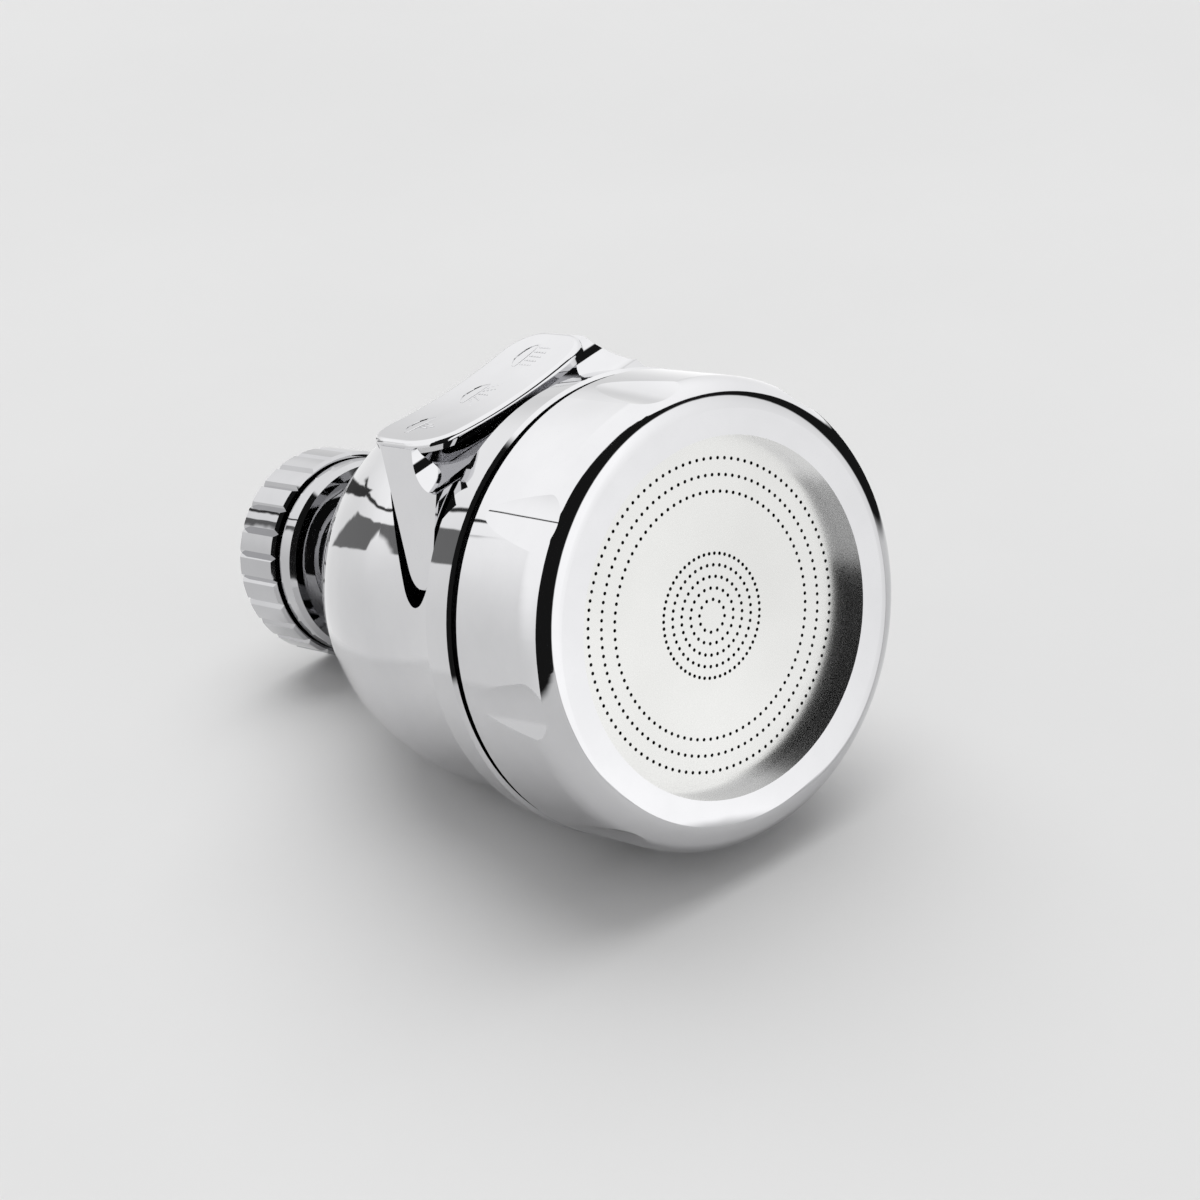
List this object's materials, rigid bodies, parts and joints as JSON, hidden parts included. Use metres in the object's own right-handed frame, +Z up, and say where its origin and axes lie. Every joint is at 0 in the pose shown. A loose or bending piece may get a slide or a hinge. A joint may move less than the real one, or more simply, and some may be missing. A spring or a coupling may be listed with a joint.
{
  "type": "tap nozzle",
  "caption": "Chromed spray head for a kitchen tap: bell-shaped body on a ball joint behind a fluted union nut, with a rocker lever on top and a perforated spray plate in its face.",
  "frame": {"origin": "centre of the inlet thread at its mouth", "axes": "+Y out of the inlet along the nozzle's axis, so the spray face looks along -Y; +Z up through the rocker lever"},
  "size_m": [0.0564, 0.0828, 0.0566],
  "materials": {
    "chromed_brass": "polished",
    "chromed_plastic": "polished",
    "stainless_steel": "satin",
    "black_rubber": "matt",
    "white_plastic": "matt",
    "black_plastic": "matt"
  },
  "bodies": {
    "union": {"union_nut": "chromed_brass", "ball_seal": "black_rubber", "inlet_washer": "black_rubber", "inlet_screen": "stainless_steel"},
    "slip": {"slip_ring": "white_plastic"},
    "head": {"swivel_ball": "chromed_brass", "neck_gasket": "black_rubber", "rear_shell": "chromed_plastic", "valve_body": "black_plastic", "body_gasket": "black_rubber", "shaft_seal": "black_rubber", "distributor": "black_plastic", "inner_gasket": "black_rubber", "outer_gasket": "black_rubber", "spray_plate": "stainless_steel", "front_cap": "chromed_plastic"},
    "selector": {"selector_lever": "chromed_plastic", "selector_shaft": "stainless_steel", "diverter_arm": "black_plastic", "inner_pad": "black_rubber", "outer_pad": "black_rubber"}
  },
  "joints": [
    {"name": "ball_spin", "type": "hinge", "parent": "union", "child": "slip", "pos_m": [0, -0.00728, 0], "axis": [0, 1, 0], "continuous": true},
    {"name": "ball_tilt", "type": "hinge", "parent": "slip", "child": "head", "pos_m": [0, -0.00728, 0], "axis": [0, 0, 1], "range_deg": [-20, 20]},
    {"name": "selector_rock", "type": "hinge", "parent": "head", "child": "selector", "pos_m": [0, -0.05, 0.014], "axis": [0, 1, 0], "range_deg": [-8, 8]}
  ]
}
